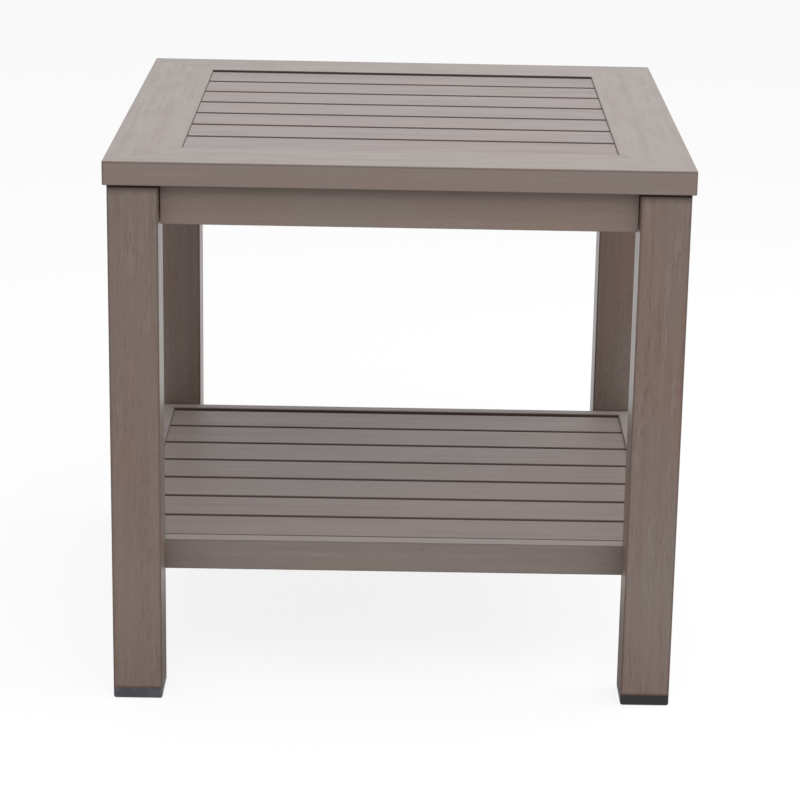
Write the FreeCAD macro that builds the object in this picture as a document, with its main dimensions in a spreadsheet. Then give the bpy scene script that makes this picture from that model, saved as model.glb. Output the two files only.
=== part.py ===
import FreeCAD
import Part
import Sketcher
import math
import os

# Square end table of coated aluminium tube: a slatted top on four legs, aprons between the legs,
# and a slatted shelf held between the front and the back legs.
# Millimetres. The origin is on the floor, under the middle of the table. +Z is up, the front faces -Y.

doc = FreeCAD.newDocument("end_table")

# Driving dimensions: cell name, size, what it measures
driving_dimensions = [
    ("table_height", 565, "floor to the upper face of the top's frame"),
    ("top_width", 580, "side of the square top"),
    ("top_thickness", 24, "height of the top's rails"),
    ("top_rail_width", 72, "width of the top's rails seen from above"),
    ("leg_spread", 572, "outer face to outer face of the legs"),
    ("leg_width", 50, "side of the square leg tube"),
    ("leg_wall", 2, "wall of the leg tube"),
    ("leg_radius", 1.5, "outer corner radius of the leg tube"),
    ("apron_height", 42.5, "height of the apron tube"),
    ("apron_thickness", 16, "thickness of the apron tube"),
    ("apron_setback", 16, "outer face of an apron behind the legs' outer face"),
    ("apron_clearance", 0.8, "between an apron's end and the leg"),
    ("shelf_height", 156, "floor to the upper face of the shelf's frame"),
    ("shelf_width", 564, "left to right over the shelf's frame"),
    ("shelf_rail_height", 32, "height of the shelf's rails"),
    ("spacer_thickness", 1.5, "washer between the shelf's frame and a leg"),
    ("frame_wall", 1.5, "wall of the rails and aprons"),
    ("frame_radius", 1, "outer corner radius of the rails and aprons"),
    ("mitre_relief", 0.15, "each mitred end is cut back this far along its rail"),
    ("corner_chamfer", 1.4, "blunted tip of a mitred corner"),
    ("slat_count", 7, "slats in the top, and in the shelf"),
    ("slat_gap", 4.4, "between two slats, and beside the first and last"),
    ("slat_end_gap", 0.35, "between a slat's end and the rail"),
    ("slat_recess", 1.5, "slats below the upper face of their frame"),
    ("slat_thickness", 14, "height of a slat"),
    ("slat_wall", 1.2, "wall of a slat"),
    ("slat_radius", 1.2, "outer corner radius of a slat"),
    ("ledge_width", 15, "flange of a ledge under the slat ends"),
    ("ledge_drop", 7.5, "flange of a ledge on the rail"),
    ("ledge_thickness", 1.5, "thickness of a ledge"),
    ("ledge_hole_inset", 9, "screw line of a ledge, from the rail"),
    ("bar_width", 25, "middle bar under the slats"),
    ("bar_thickness", 4, "thickness of the middle bar"),
    ("screw_shank", 3.5, "diameter of a slat screw"),
    ("screw_length", 9, "slat screw under its head"),
    ("screw_head", 7, "diameter of a slat screw's head"),
    ("screw_head_height", 2.2, "height of a slat screw's head"),
    ("screw_cross_span", 4.2, "cross recess of a slat screw, end to end"),
    ("screw_cross_width", 1, "width of the cross recess"),
    ("screw_cross_depth", 1.3, "depth of the cross recess"),
    ("head_bevel", 0.8, "bevel round a fastener's head"),
    ("thread_play", 0.2, "a threaded shank is this much thinner than its hole"),
    ("foot_height", 12, "part of a foot cap below the leg"),
    ("foot_radius", 3, "rounding of the foot cap's lower edge"),
    ("foot_plug_depth", 18, "part of a foot cap inside the leg"),
    ("top_plug_flange", 2.8, "flange of a leg's upper plug"),
    ("top_plug_depth", 10.5, "part of an upper plug inside the leg"),
    ("plug_clearance", 0.2, "between a plug and the leg's inner wall"),
    ("plug_wall", 3, "wall of a plug"),
    ("bracket_thickness", 2.5, "thickness of an apron bracket"),
    ("bracket_height", 36, "height of an apron bracket"),
    ("bracket_reach", 32, "flange of a bracket along the apron"),
    ("bracket_lower_gap", 3, "bracket above the apron's lower edge"),
    ("rivet_shank", 4.8, "diameter of a bracket rivet"),
    ("rivet_head", 9.5, "diameter of a bracket rivet's head"),
    ("rivet_head_height", 1.6, "height of a bracket rivet's head"),
    ("rivet_tail", 6.7, "diameter of a rivet's closed tail"),
    ("rivet_tail_length", 4.8, "length of a rivet's closed tail"),
    ("rivet_spacing", 18, "height between a bracket's two rivets"),
    ("rivet_inset", 22, "rivet line of a bracket, from the leg"),
    ("bolt_shank", 6, "diameter of a bolt"),
    ("bolt_head", 10.5, "diameter of a bolt's head"),
    ("bolt_head_height", 3.3, "height of a bolt's head"),
    ("bolt_socket", 4, "hexagon socket, across its flats"),
    ("bolt_socket_depth", 2, "depth of the hexagon socket"),
    ("bolt_step", 13, "height between the two bracket bolts of one leg"),
    ("bolt_lower_gap", 10, "lower bracket bolt above the apron's lower edge"),
    ("apron_bolt_length", 16, "bracket bolt under its head"),
    ("shelf_bolt_length", 30, "shelf bolt under its head"),
    ("shelf_bolt_inset", 14, "shelf bolt inside the leg's inner face line"),
    ("shelf_bolt_rise", 7, "shelf bolt above the shelf rail's lower face"),
    ("washer_diameter", 12, "outside of a washer or spacer"),
    ("washer_thickness", 1.2, "thickness of a washer"),
    ("bolt_hole", 6.6, "clearance hole for a bolt"),
    ("nut_diameter", 9, "body of a rivet nut"),
    ("nut_bulge", 11, "closed bulge of a rivet nut behind the wall"),
    ("nut_bulge_length", 4, "length of that bulge"),
    ("nut_length", 13, "length of a rivet nut"),
    ("nut_bore", 6.2, "bore of a rivet nut"),
    ("cut_margin", 5, "how far a cutting outline runs past the stock"),
]
sizes = doc.addObject("Spreadsheet::Sheet", "sizes")
for row, (name, size, meaning) in enumerate(driving_dimensions, start=1):
    sizes.set(f"A{row}", meaning)
    sizes.set(f"B{row}", str(size))
    sizes.setAlias(f"B{row}", name)
doc.recompute()

# Sizes that follow from the driving dimensions, as expressions
slat_field = "(sizes.top_width - 2 * sizes.top_rail_width)"
slat_width = f"(({slat_field} - (sizes.slat_count + 1) * sizes.slat_gap) / sizes.slat_count)"
slat_pitch = f"({slat_width} + sizes.slat_gap)"
top_underside = "(sizes.table_height - sizes.top_thickness)"
leg_inner = "(sizes.leg_spread / 2 - sizes.leg_width)"
leg_centre = "(sizes.leg_spread / 2 - sizes.leg_width / 2)"
leg_top = f"({top_underside} - sizes.top_plug_flange)"
apron_inner = "(sizes.leg_spread / 2 - sizes.apron_setback - sizes.apron_thickness)"
apron_bottom = f"({top_underside} - sizes.apron_height)"
shelf_depth = f"(2 * {leg_inner} - 2 * sizes.spacer_thickness)"
shelf_rail_width = f"(({shelf_depth} - {slat_field}) / 2)"
shelf_opening = f"(sizes.shelf_width - 2 * {shelf_rail_width})"
shelf_bottom = "(sizes.shelf_height - sizes.shelf_rail_height)"
plug_width = "(sizes.leg_width - 2 * sizes.leg_wall - 2 * sizes.plug_clearance)"
bracket_leg_flange = f"({apron_inner} - {leg_inner})"
bracket_bottom = f"({apron_bottom} + sizes.bracket_lower_gap)"
bracket_middle = f"({bracket_bottom} + sizes.bracket_height / 2)"
bracket_bolt_line = f"({leg_inner} + {bracket_leg_flange} / 2 - sizes.bracket_thickness / 2)"
shelf_bolt_line = f"({leg_inner} + sizes.shelf_bolt_inset)"
lower_bolt_height = f"({apron_bottom} + sizes.bolt_lower_gap)"
upper_bolt_height = f"({lower_bolt_height} + sizes.bolt_step)"
shelf_bolt_height = f"({shelf_bottom} + sizes.shelf_bolt_rise)"

corner_names = ["front_left", "front_right", "back_right", "back_left"]
side_names = ["front", "right", "back", "left"]
quarter_turn = 90
hexagon_sides = 6
up = FreeCAD.Vector(0, 0, 1)
pieces = []


def size_of(expression):
    return float(sizes.evalExpression(expression))


def cell(name):
    return size_of(f"sizes.{name}")


# Sketch helpers: every corner, centre and radius is bound to the sheet
def origin_plane(body, role):
    return next(feature for feature in body.Origin.OriginFeatures if feature.Role == role)


def new_body(label):
    body = doc.addObject("PartDesign::Body", label)
    body.Label = label
    pieces.append(body)
    return body


def new_sketch(body, name, role):
    sketch = body.newObject("Sketcher::SketchObject", f"{body.Name}_{name}")
    sketch.AttachmentSupport = [(origin_plane(body, role), "")]
    sketch.MapMode = "FlatFace"
    return sketch


def bind(sketch, kind, geometry, point, expression):
    value = size_of(expression)
    if point is None:
        index = sketch.addConstraint(Sketcher.Constraint(kind, geometry, value))
    else:
        index = sketch.addConstraint(Sketcher.Constraint(kind, geometry, point, value))
    constraint_name = f"{kind}_{index}"
    sketch.renameConstraint(index, constraint_name)
    sketch.setExpression(f"Constraints.{constraint_name}", expression)


def draw_polygon(sketch, corners):
    spots = [FreeCAD.Vector(size_of(x), size_of(y), 0) for x, y in corners]
    first = sketch.GeometryCount
    count = len(spots)
    for number in range(count):
        sketch.addGeometry(Part.LineSegment(spots[number], spots[(number + 1) % count]), False)
    for number in range(count):
        following = first + (number + 1) % count
        sketch.addConstraint(Sketcher.Constraint("Coincident", first + number, 2, following, 1))
    for number, (x, y) in enumerate(corners):
        bind(sketch, "DistanceX", first + number, 1, x)
        bind(sketch, "DistanceY", first + number, 1, y)


def draw_rectangle(sketch, width, height):
    left, right = f"-{width} / 2", f"{width} / 2"
    low, high = f"-{height} / 2", f"{height} / 2"
    draw_polygon(sketch, [(left, low), (right, low), (right, high), (left, high)])


def draw_rounded_rectangle(sketch, width, height, radius):
    arc_signs = [(1, 1), (-1, 1), (-1, -1), (1, -1)]
    first = sketch.GeometryCount
    reach_x = size_of(f"{width} / 2 - {radius}")
    reach_y = size_of(f"{height} / 2 - {radius}")
    bend = size_of(radius)
    for number, (sign_x, sign_y) in enumerate(arc_signs):
        centre = FreeCAD.Vector(sign_x * reach_x, sign_y * reach_y, 0)
        start = math.radians(quarter_turn * number)
        circle = Part.Circle(centre, up, bend)
        sketch.addGeometry(Part.ArcOfCircle(circle, start, start + math.radians(quarter_turn)), False)
    for number in range(4):
        begin = sketch.Geometry[first + number].EndPoint
        end = sketch.Geometry[first + (number + 1) % 4].StartPoint
        sketch.addGeometry(Part.LineSegment(begin, end), False)
    for number in range(4):
        arc, line, next_arc = first + number, first + 4 + number, first + (number + 1) % 4
        sketch.addConstraint(Sketcher.Constraint("Tangent", arc, 2, line, 1))
        sketch.addConstraint(Sketcher.Constraint("Tangent", line, 2, next_arc, 1))
    for number, (sign_x, sign_y) in enumerate(arc_signs):
        bind(sketch, "DistanceX", first + number, 3, f"{sign_x} * ({width} / 2 - {radius})")
        bind(sketch, "DistanceY", first + number, 3, f"{sign_y} * ({height} / 2 - {radius})")
        bind(sketch, "Radius", first + number, None, radius)


def draw_circle(sketch, x, y, diameter):
    centre = FreeCAD.Vector(size_of(x), size_of(y), 0)
    index = sketch.addGeometry(Part.Circle(centre, up, size_of(diameter) / 2), False)
    bind(sketch, "DistanceX", index, 3, x)
    bind(sketch, "DistanceY", index, 3, y)
    bind(sketch, "Diameter", index, None, diameter)


# Feature helpers
def pad(body, sketch, length, both_ways=False):
    feature = body.newObject("PartDesign::Pad", f"{sketch.Name}_pad")
    feature.Profile = sketch
    feature.setExpression("Length", length)
    feature.SideType = "Symmetric" if both_ways else "One side"
    doc.recompute()
    return feature


def pocket(body, sketch, length, both_ways=False, turned=False):
    before = body.Shape.Volume
    feature = body.newObject("PartDesign::Pocket", f"{sketch.Name}_pocket")
    feature.Profile = sketch
    feature.setExpression("Length", length)
    feature.SideType = "Symmetric" if both_ways else "One side"
    feature.Reversed = turned
    doc.recompute()
    if body.Shape.Volume >= before:
        raise RuntimeError(f"{sketch.Name} cuts nothing")
    return feature


def drill(body, name, role, centres, diameter, length, both_ways=False, turned=False):
    sketch = new_sketch(body, name, role)
    for x, y in centres:
        draw_circle(sketch, x, y, diameter)
    return pocket(body, sketch, length, both_ways, turned)


def put(piece, x, y, z, turn=0):
    piece.Placement = FreeCAD.Placement(FreeCAD.Vector(0, 0, 0), FreeCAD.Rotation(up, turn))
    piece.setExpression("Placement.Base.x", x)
    piece.setExpression("Placement.Base.y", y)
    piece.setExpression("Placement.Base.z", z)


# Middle of the front, right, back or left side, at a reach from the middle of the table
def side_position(side, reach):
    return {"front": ("0", f"-{reach}"), "right": (reach, "0"),
            "back": ("0", reach), "left": (f"-{reach}", "0")}[side]


def tube(label, role, width, height, radius, wall, length, both_ways=True):
    body = new_body(label)
    section = new_sketch(body, "section", role)
    draw_rounded_rectangle(section, width, height, radius)
    draw_rectangle(section, f"({width} - 2 * {wall})", f"({height} - 2 * {wall})")
    pad(body, section, length, both_ways)
    return body


# Mitred rail along X, with its outer face towards -Y
def mitred_rail(label, length, width, height):
    body = tube(label, "YZ_Plane", width, height, "sizes.frame_radius", "sizes.frame_wall", length)
    cut = new_sketch(body, "mitres", "XY_Plane")
    margin, relief, chamfer = "sizes.cut_margin", "sizes.mitre_relief", "sizes.corner_chamfer"
    for sign in (1, -1):
        draw_polygon(cut, [
            (f"{sign} * ({length} / 2 - {chamfer} - {relief} - {margin})", f"-{width} / 2 - {margin}"),
            (f"{sign} * ({length} / 2 + {margin})", f"-{width} / 2 - {margin}"),
            (f"{sign} * ({length} / 2 + {margin})", f"{width} / 2 + {margin}"),
            (f"{sign} * ({length} / 2 - {width} - {relief} - {margin})", f"{width} / 2 + {margin}"),
            (f"{sign} * ({length} / 2 - {chamfer} / 2 - {relief})", f"-{width} / 2 + {chamfer} / 2"),
        ])
    pocket(body, cut, f"2 * {height}", both_ways=True)
    return body


# Four mitred rails round a frame, the first one at the front
def rail_frame(prefix, frame_width, frame_depth, rail_width, rail_height, upper_face):
    rails = {}
    for number, side in enumerate(side_names):
        along = frame_width if side in ("front", "back") else frame_depth
        across = frame_depth if side in ("front", "back") else frame_width
        rail = mitred_rail(f"{prefix}_rail_{side}", along, rail_width, rail_height)
        reach = f"({across} / 2 - {rail_width} / 2)"
        put(rail, *side_position(side, reach), f"{upper_face} - {rail_height} / 2", quarter_turn * number)
        rails[side] = rail
    return rails


# Middle of a slat, counted from the front
def slat_line(number):
    return f"(-{slat_field} / 2 + sizes.slat_gap + {slat_width} / 2 + {number} * {slat_pitch})"


# Slats, the ledges and bar that carry them, and the screws from below
def slat_panel(prefix, opening, upper_face):
    count = int(cell("slat_count"))
    slat_length = f"({opening} - 2 * sizes.slat_end_gap)"
    slat_bottom = f"({upper_face} - sizes.slat_recess - sizes.slat_thickness)"
    screw_reach = f"({opening} / 2 - sizes.ledge_hole_inset)"
    for number in range(count):
        slat = tube(f"{prefix}_slat_{number + 1}", "YZ_Plane", slat_width, "sizes.slat_thickness",
                    "sizes.slat_radius", "sizes.slat_wall", slat_length)
        holes = [(f"-{screw_reach}", "0"), ("0", "0"), (screw_reach, "0")]
        drill(slat, "holes", "XY_Plane", holes, "sizes.screw_shank", "sizes.slat_thickness")
        put(slat, "0", slat_line(number), f"{slat_bottom} + sizes.slat_thickness / 2")
    for side, sign, turn in (("left", -1, 0), ("right", 1, 2 * quarter_turn)):
        ledge = new_body(f"{prefix}_slat_ledge_{side}")
        section = new_sketch(ledge, "section", "XZ_Plane")
        thick = "sizes.ledge_thickness"
        draw_polygon(section, [
            ("0", "0"), ("0", "-sizes.ledge_drop"), (thick, "-sizes.ledge_drop"), (thick, f"-{thick}"),
            ("sizes.ledge_width", f"-{thick}"), ("sizes.ledge_width", "0"),
        ])
        pad(ledge, section, slat_field, both_ways=True)
        holes = [("sizes.ledge_hole_inset", slat_line(number)) for number in range(count)]
        drill(ledge, "holes", "XY_Plane", holes, "sizes.screw_shank", "sizes.ledge_drop")
        put(ledge, f"{sign} * {opening} / 2", "0", slat_bottom, turn)
    bar = new_body(f"{prefix}_slat_bar")
    section = new_sketch(bar, "section", "XZ_Plane")
    draw_rectangle(section, "sizes.bar_width", "sizes.bar_thickness")
    pad(bar, section, slat_field, both_ways=True)
    holes = [("0", slat_line(number)) for number in range(count)]
    drill(bar, "holes", "XY_Plane", holes, "sizes.screw_shank", "2 * sizes.bar_thickness", both_ways=True)
    put(bar, "0", "0", f"{slat_bottom} - sizes.bar_thickness / 2")
    screws = []
    for number in range(count):
        y = size_of(slat_line(number))
        for column, carrier in ((-1, "ledge_thickness"), (0, "bar_thickness"), (1, "ledge_thickness")):
            seat = size_of(f"{slat_bottom} - sizes.{carrier}")
            screws.append(moved(slat_screw(), (column * size_of(screw_reach), y, seat), up))
    fastener_group(f"{prefix}_slat_screws", screws)


# Fasteners, built along +Z with the underside of the head, or the seat, at z = 0
def moved(shape, position, direction):
    placed = shape.copy()
    turn = FreeCAD.Rotation(up, FreeCAD.Vector(direction))
    placed.Placement = FreeCAD.Placement(FreeCAD.Vector(position), turn)
    return placed


def bevelled_head(diameter, height):
    bevel = cell("head_bevel")
    shoulder = FreeCAD.Vector(0, 0, height - bevel)
    crown = Part.makeCone(diameter / 2, diameter / 2 - bevel, bevel, shoulder)
    return Part.makeCylinder(diameter / 2, height - bevel).fuse(crown)


def flipped(shape):
    return shape.mirror(FreeCAD.Vector(0, 0, 0), up)


def slat_screw():
    head = flipped(bevelled_head(cell("screw_head"), cell("screw_head_height")))
    span, width = cell("screw_cross_span"), cell("screw_cross_width")
    corner = FreeCAD.Vector(-span / 2, -width / 2, -cell("screw_head_height"))
    slot = Part.makeBox(span, width, cell("screw_cross_depth"), corner)
    crossed = slot.copy()
    crossed.rotate(FreeCAD.Vector(0, 0, 0), up, quarter_turn)
    return head.cut(slot.fuse(crossed)).fuse(pointed_shank(cell("screw_shank"), cell("screw_length")))


# The point narrows to half the radius over a length of one radius
def pointed_shank(hole_diameter, length):
    radius = (hole_diameter - cell("thread_play")) / 2
    straight = length - radius
    point = Part.makeCone(radius, radius / 2, radius, FreeCAD.Vector(0, 0, straight))
    return Part.makeCylinder(radius, straight).fuse(point)


def socket_bolt(length):
    head = flipped(bevelled_head(cell("bolt_head"), cell("bolt_head_height")))
    side_angle = 2 * math.pi / hexagon_sides
    corner_radius = cell("bolt_socket") / 2 / math.cos(side_angle / 2)
    corners = []
    for step in range(hexagon_sides + 1):
        x = corner_radius * math.cos(side_angle * step)
        y = corner_radius * math.sin(side_angle * step)
        corners.append(FreeCAD.Vector(x, y, -cell("bolt_head_height")))
    socket = Part.Face(Part.makePolygon(corners)).extrude(up * cell("bolt_socket_depth"))
    return head.cut(socket).fuse(pointed_shank(cell("bolt_shank"), length))


def washer(thickness):
    disc = Part.makeCylinder(cell("washer_diameter") / 2, thickness)
    return disc.cut(Part.makeCylinder(cell("bolt_hole") / 2, thickness))


def rivet_nut():
    body = Part.makeCylinder(cell("nut_diameter") / 2, cell("nut_length"))
    bulge_start = FreeCAD.Vector(0, 0, cell("leg_wall"))
    bulge = Part.makeCylinder(cell("nut_bulge") / 2, cell("nut_bulge_length"), bulge_start)
    return body.fuse(bulge).cut(Part.makeCylinder(cell("nut_bore") / 2, cell("nut_length")))


def bracket_rivet():
    grip = cell("bracket_thickness") + cell("frame_wall")
    head = flipped(bevelled_head(cell("rivet_head"), cell("rivet_head_height")))
    shank = Part.makeCylinder(cell("rivet_shank") / 2, grip)
    tail = bevelled_head(cell("rivet_tail"), cell("rivet_tail_length"))
    tail.translate(FreeCAD.Vector(0, 0, grip))
    return head.fuse(shank).fuse(tail)


def fastener_group(label, solids):
    group = doc.addObject("Part::Feature", label)
    group.Label = label
    group.Shape = Part.makeCompound(solids)
    group.Placement = FreeCAD.Placement()
    pieces.append(group)


# A point and a direction of the front left corner, turned to another corner
def at_corner(corner, position, direction):
    turn = FreeCAD.Rotation(up, quarter_turn * corner)
    return turn.multVec(FreeCAD.Vector(position)), turn.multVec(FreeCAD.Vector(direction))


def corner_position(corner, offset_x, offset_y):
    return [(f"-{offset_x}", f"-{offset_y}"), (offset_y, f"-{offset_x}"),
            (offset_x, offset_y), (f"-{offset_y}", offset_x)][corner]


# On the front left and back right legs the shelf bolt enters the face that bears the second bracket
def shelf_bolt_on_second_face(corner):
    return corner % 2 == 0


# Legs with their foot caps and upper plugs
def legs():
    bolt_offset = f"({leg_centre} - {bracket_bolt_line})"
    shelf_offset = f"({leg_centre} - {shelf_bolt_line})"
    for corner, name in enumerate(corner_names):
        x, y = corner_position(corner, leg_centre, leg_centre)
        leg = tube(f"leg_{name}", "XY_Plane", "sizes.leg_width", "sizes.leg_width", "sizes.leg_radius",
                   "sizes.leg_wall", f"{leg_top} - sizes.foot_height", both_ways=False)
        first_face = [(bolt_offset, f"{lower_bolt_height} - sizes.foot_height")]
        second_face = [(bolt_offset, f"{upper_bolt_height} - sizes.foot_height")]
        shelf_hole = (shelf_offset, f"{shelf_bolt_height} - sizes.foot_height")
        (second_face if shelf_bolt_on_second_face(corner) else first_face).append(shelf_hole)
        drill(leg, "first_face_holes", "YZ_Plane", first_face, "sizes.nut_diameter",
              "sizes.leg_width", turned=True)
        drill(leg, "second_face_holes", "XZ_Plane", second_face, "sizes.nut_diameter", "sizes.leg_width")
        put(leg, x, y, "sizes.foot_height", quarter_turn * corner)

        cap = plug(f"foot_cap_{name}", "sizes.foot_height", "sizes.foot_plug_depth")
        round_lower_edge(cap)
        put(cap, x, y, "0")

        upper = plug(f"leg_top_plug_{name}", "sizes.top_plug_flange", "sizes.top_plug_depth")
        upper.Placement = FreeCAD.Placement(FreeCAD.Vector(0, 0, 0), FreeCAD.Rotation(1, 0, 0, 0))
        upper.setExpression("Placement.Base.x", x)
        upper.setExpression("Placement.Base.y", y)
        upper.setExpression("Placement.Base.z", top_underside)


# Square plug: a flange the size of the leg, then a hollow stub that fits inside it
def plug(label, flange, depth):
    body = new_body(label)
    flange_sketch = new_sketch(body, "flange", "XY_Plane")
    draw_rounded_rectangle(flange_sketch, "sizes.leg_width", "sizes.leg_width", "sizes.leg_radius")
    pad(body, flange_sketch, flange)
    stub_sketch = new_sketch(body, "stub", "XY_Plane")
    draw_rectangle(stub_sketch, plug_width, plug_width)
    pad(body, stub_sketch, f"{flange} + {depth}")
    hollow_sketch = new_sketch(body, "hollow", "XY_Plane")
    hollow = f"({plug_width} - 2 * sizes.plug_wall)"
    draw_rectangle(hollow_sketch, hollow, hollow)
    hollow_sketch.setExpression(".AttachmentOffset.Base.z", flange)
    pocket(body, hollow_sketch, depth, turned=True)
    return body


def round_lower_edge(cap):
    base = cap.Tip
    names = [f"Edge{number}" for number, edge in enumerate(base.Shape.Edges, start=1)
             if edge.BoundBox.ZMax < cell("foot_radius") / 2]
    rounding = cap.newObject("PartDesign::Fillet", f"{cap.Name}_rounding")
    rounding.Base = (base, names)
    rounding.setExpression("Radius", "sizes.foot_radius")
    doc.recompute()


# Aprons between the legs
def aprons():
    length = f"(2 * {leg_inner} - 2 * sizes.apron_clearance)"
    reach = f"({apron_inner} + sizes.apron_thickness / 2)"
    rivet_reach = f"({leg_inner} - sizes.rivet_inset)"
    middle = f"({apron_bottom} + sizes.apron_height / 2)"
    rivet_middle = f"({bracket_middle} - {middle})"
    for number, side in enumerate(side_names):
        apron = tube(f"apron_{side}", "YZ_Plane", "sizes.apron_thickness", "sizes.apron_height",
                     "sizes.frame_radius", "sizes.frame_wall", length)
        holes = [(f"{end} * {rivet_reach}", f"{rivet_middle} + {step} * sizes.rivet_spacing / 2")
                 for end in (-1, 1) for step in (-1, 1)]
        drill(apron, "rivet_holes", "XZ_Plane", holes, "sizes.rivet_shank", "sizes.apron_thickness")
        put(apron, *side_position(side, reach), middle, quarter_turn * number)


# Angle bracket: its corner is where the leg's inner face meets the apron's inner face
def apron_bracket(label, arm_x, arm_y, bolt_height, bolt_through_x):
    body = new_body(label)
    section = new_sketch(body, "section", "XY_Plane")
    thick = "sizes.bracket_thickness"
    draw_polygon(section, [
        ("0", "0"), (arm_x, "0"), (arm_x, thick), (thick, thick), (thick, arm_y), ("0", arm_y),
    ])
    pad(body, section, "sizes.bracket_height")
    bolt_hole = [(f"({bracket_leg_flange} / 2 + {thick} / 2)", f"{bolt_height} - {bracket_bottom}")]
    rivet_holes = [("sizes.rivet_inset", f"sizes.bracket_height / 2 + {step} * sizes.rivet_spacing / 2")
                   for step in (-1, 1)]
    if bolt_through_x:
        drill(body, "bolt_hole", "YZ_Plane", bolt_hole, "sizes.bolt_hole", thick, turned=True)
        drill(body, "rivet_holes", "XZ_Plane", rivet_holes, "sizes.rivet_shank", thick)
    else:
        drill(body, "bolt_hole", "XZ_Plane", bolt_hole, "sizes.bolt_hole", thick)
        drill(body, "rivet_holes", "YZ_Plane", rivet_holes, "sizes.rivet_shank", thick, turned=True)
    return body


# Two brackets at each leg, one for each apron that meets there
def apron_brackets():
    for corner, name in enumerate(corner_names):
        first_side, second_side = side_names[corner], side_names[corner - 1]
        ends = name.split("_")
        first_end = next(end for end in ends if end != first_side)
        second_end = next(end for end in ends if end != second_side)
        first = apron_bracket(f"bracket_{first_side}_apron_{first_end}", "sizes.bracket_reach",
                              bracket_leg_flange, lower_bolt_height, True)
        second = apron_bracket(f"bracket_{second_side}_apron_{second_end}", bracket_leg_flange,
                               "sizes.bracket_reach", upper_bolt_height, False)
        put(first, *corner_position(corner, leg_inner, apron_inner), bracket_bottom, quarter_turn * corner)
        put(second, *corner_position(corner, apron_inner, leg_inner), bracket_bottom, quarter_turn * corner)


# Seat of a bracket bolt, a depth away from the leg's face: the first bolt runs along X, the second along Y
def bracket_seat(corner, bolt, depth):
    face = depth - size_of(leg_inner)
    line = -size_of(bracket_bolt_line)
    if bolt == "first":
        return at_corner(corner, (face, line, size_of(lower_bolt_height)), (-1, 0, 0))
    return at_corner(corner, (line, face, size_of(upper_bolt_height)), (0, -1, 0))


# Bolts, washers, rivet nuts and rivets that hold the aprons to the legs
def bracket_fasteners():
    head_seat = cell("bracket_thickness") + cell("washer_thickness")
    rivet_seat = cell("bracket_thickness") - size_of(apron_inner)
    rivet_line = cell("rivet_inset") - size_of(leg_inner)
    bolts, washers, nuts, rivets = [], [], [], []
    for corner in range(len(corner_names)):
        for bolt in ("first", "second"):
            seat = bracket_seat(corner, bolt, head_seat)
            bolts.append(moved(socket_bolt(cell("apron_bolt_length")), *seat))
            washers.append(moved(washer(cell("washer_thickness")), *seat))
            nuts.append(moved(rivet_nut(), *bracket_seat(corner, bolt, 0)))
        for step in (-1, 1):
            height = size_of(bracket_middle) + step * cell("rivet_spacing") / 2
            first_seat = at_corner(corner, (rivet_line, rivet_seat, height), (0, -1, 0))
            second_seat = at_corner(corner, (rivet_seat, rivet_line, height), (-1, 0, 0))
            rivets.append(moved(bracket_rivet(), *first_seat))
            rivets.append(moved(bracket_rivet(), *second_seat))
    return bolts, washers, nuts, rivets


# Bolts, washers, spacers and rivet nuts that hold the shelf between the legs
def shelf_fasteners():
    leg_face = size_of(leg_inner)
    rail_outside = leg_face - cell("spacer_thickness")
    rail_inside = rail_outside - size_of(shelf_rail_width)
    height = size_of(shelf_bolt_height)
    bolts, washers, spacers, nuts = [], [], [], []
    for side_x in (-1, 1):
        x = side_x * size_of(shelf_bolt_line)
        for side_y in (-1, 1):
            outward = (0, side_y, 0)
            head_seat = (x, side_y * (rail_inside - cell("washer_thickness")), height)
            bolts.append(moved(socket_bolt(cell("shelf_bolt_length")), head_seat, outward))
            washers.append(moved(washer(cell("washer_thickness")), head_seat, outward))
            spacer_seat = (x, side_y * rail_outside, height)
            spacers.append(moved(washer(cell("spacer_thickness")), spacer_seat, outward))
            nuts.append(moved(rivet_nut(), (x, side_y * leg_face, height), outward))
    return bolts, washers, spacers, nuts


def fasteners():
    apron_bolts, apron_washers, apron_nuts, rivets = bracket_fasteners()
    shelf_bolts, shelf_washers, spacers, shelf_nuts = shelf_fasteners()
    fastener_group("apron_bolts", apron_bolts)
    fastener_group("shelf_bolts", shelf_bolts)
    fastener_group("bolt_washers", apron_washers + shelf_washers)
    fastener_group("shelf_spacers", spacers)
    fastener_group("leg_rivet_nuts", apron_nuts + shelf_nuts)
    fastener_group("bracket_rivets", rivets)


# The whole table
legs()
rail_frame("top", "sizes.top_width", "sizes.top_width", "sizes.top_rail_width", "sizes.top_thickness",
           "sizes.table_height")
slat_panel("top", slat_field, "sizes.table_height")
aprons()
apron_brackets()
shelf_rails = rail_frame("shelf", "sizes.shelf_width", shelf_depth, shelf_rail_width,
                         "sizes.shelf_rail_height", "sizes.shelf_height")
for side in ("front", "back"):
    height = f"({shelf_bolt_height} - sizes.shelf_height + sizes.shelf_rail_height / 2)"
    shelf_holes = [(f"{end} * {shelf_bolt_line}", height) for end in (-1, 1)]
    drill(shelf_rails[side], "bolt_holes", "XZ_Plane", shelf_holes, "sizes.bolt_hole",
          f"2 * {shelf_rail_width}", both_ways=True)
slat_panel("shelf", shelf_opening, "sizes.shelf_height")
fasteners()
doc.recompute()

# Every object must be sound before anything is written
for item in doc.Objects:
    if "Invalid" in item.State or "Error" in item.State:
        raise RuntimeError(f"{item.Label} is {item.State}")
for piece in pieces:
    if piece.Shape.isNull() or not piece.Shape.isValid():
        raise RuntimeError(f"{piece.Label} has no sound shape")
os.makedirs("parts", exist_ok=True)
for piece in pieces:
    piece.Shape.exportStep(f"parts/{piece.Label}.step")
print(len(pieces), "pieces written")
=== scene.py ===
import math

import bmesh
import bpy
from mathutils import Matrix, Vector


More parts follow.
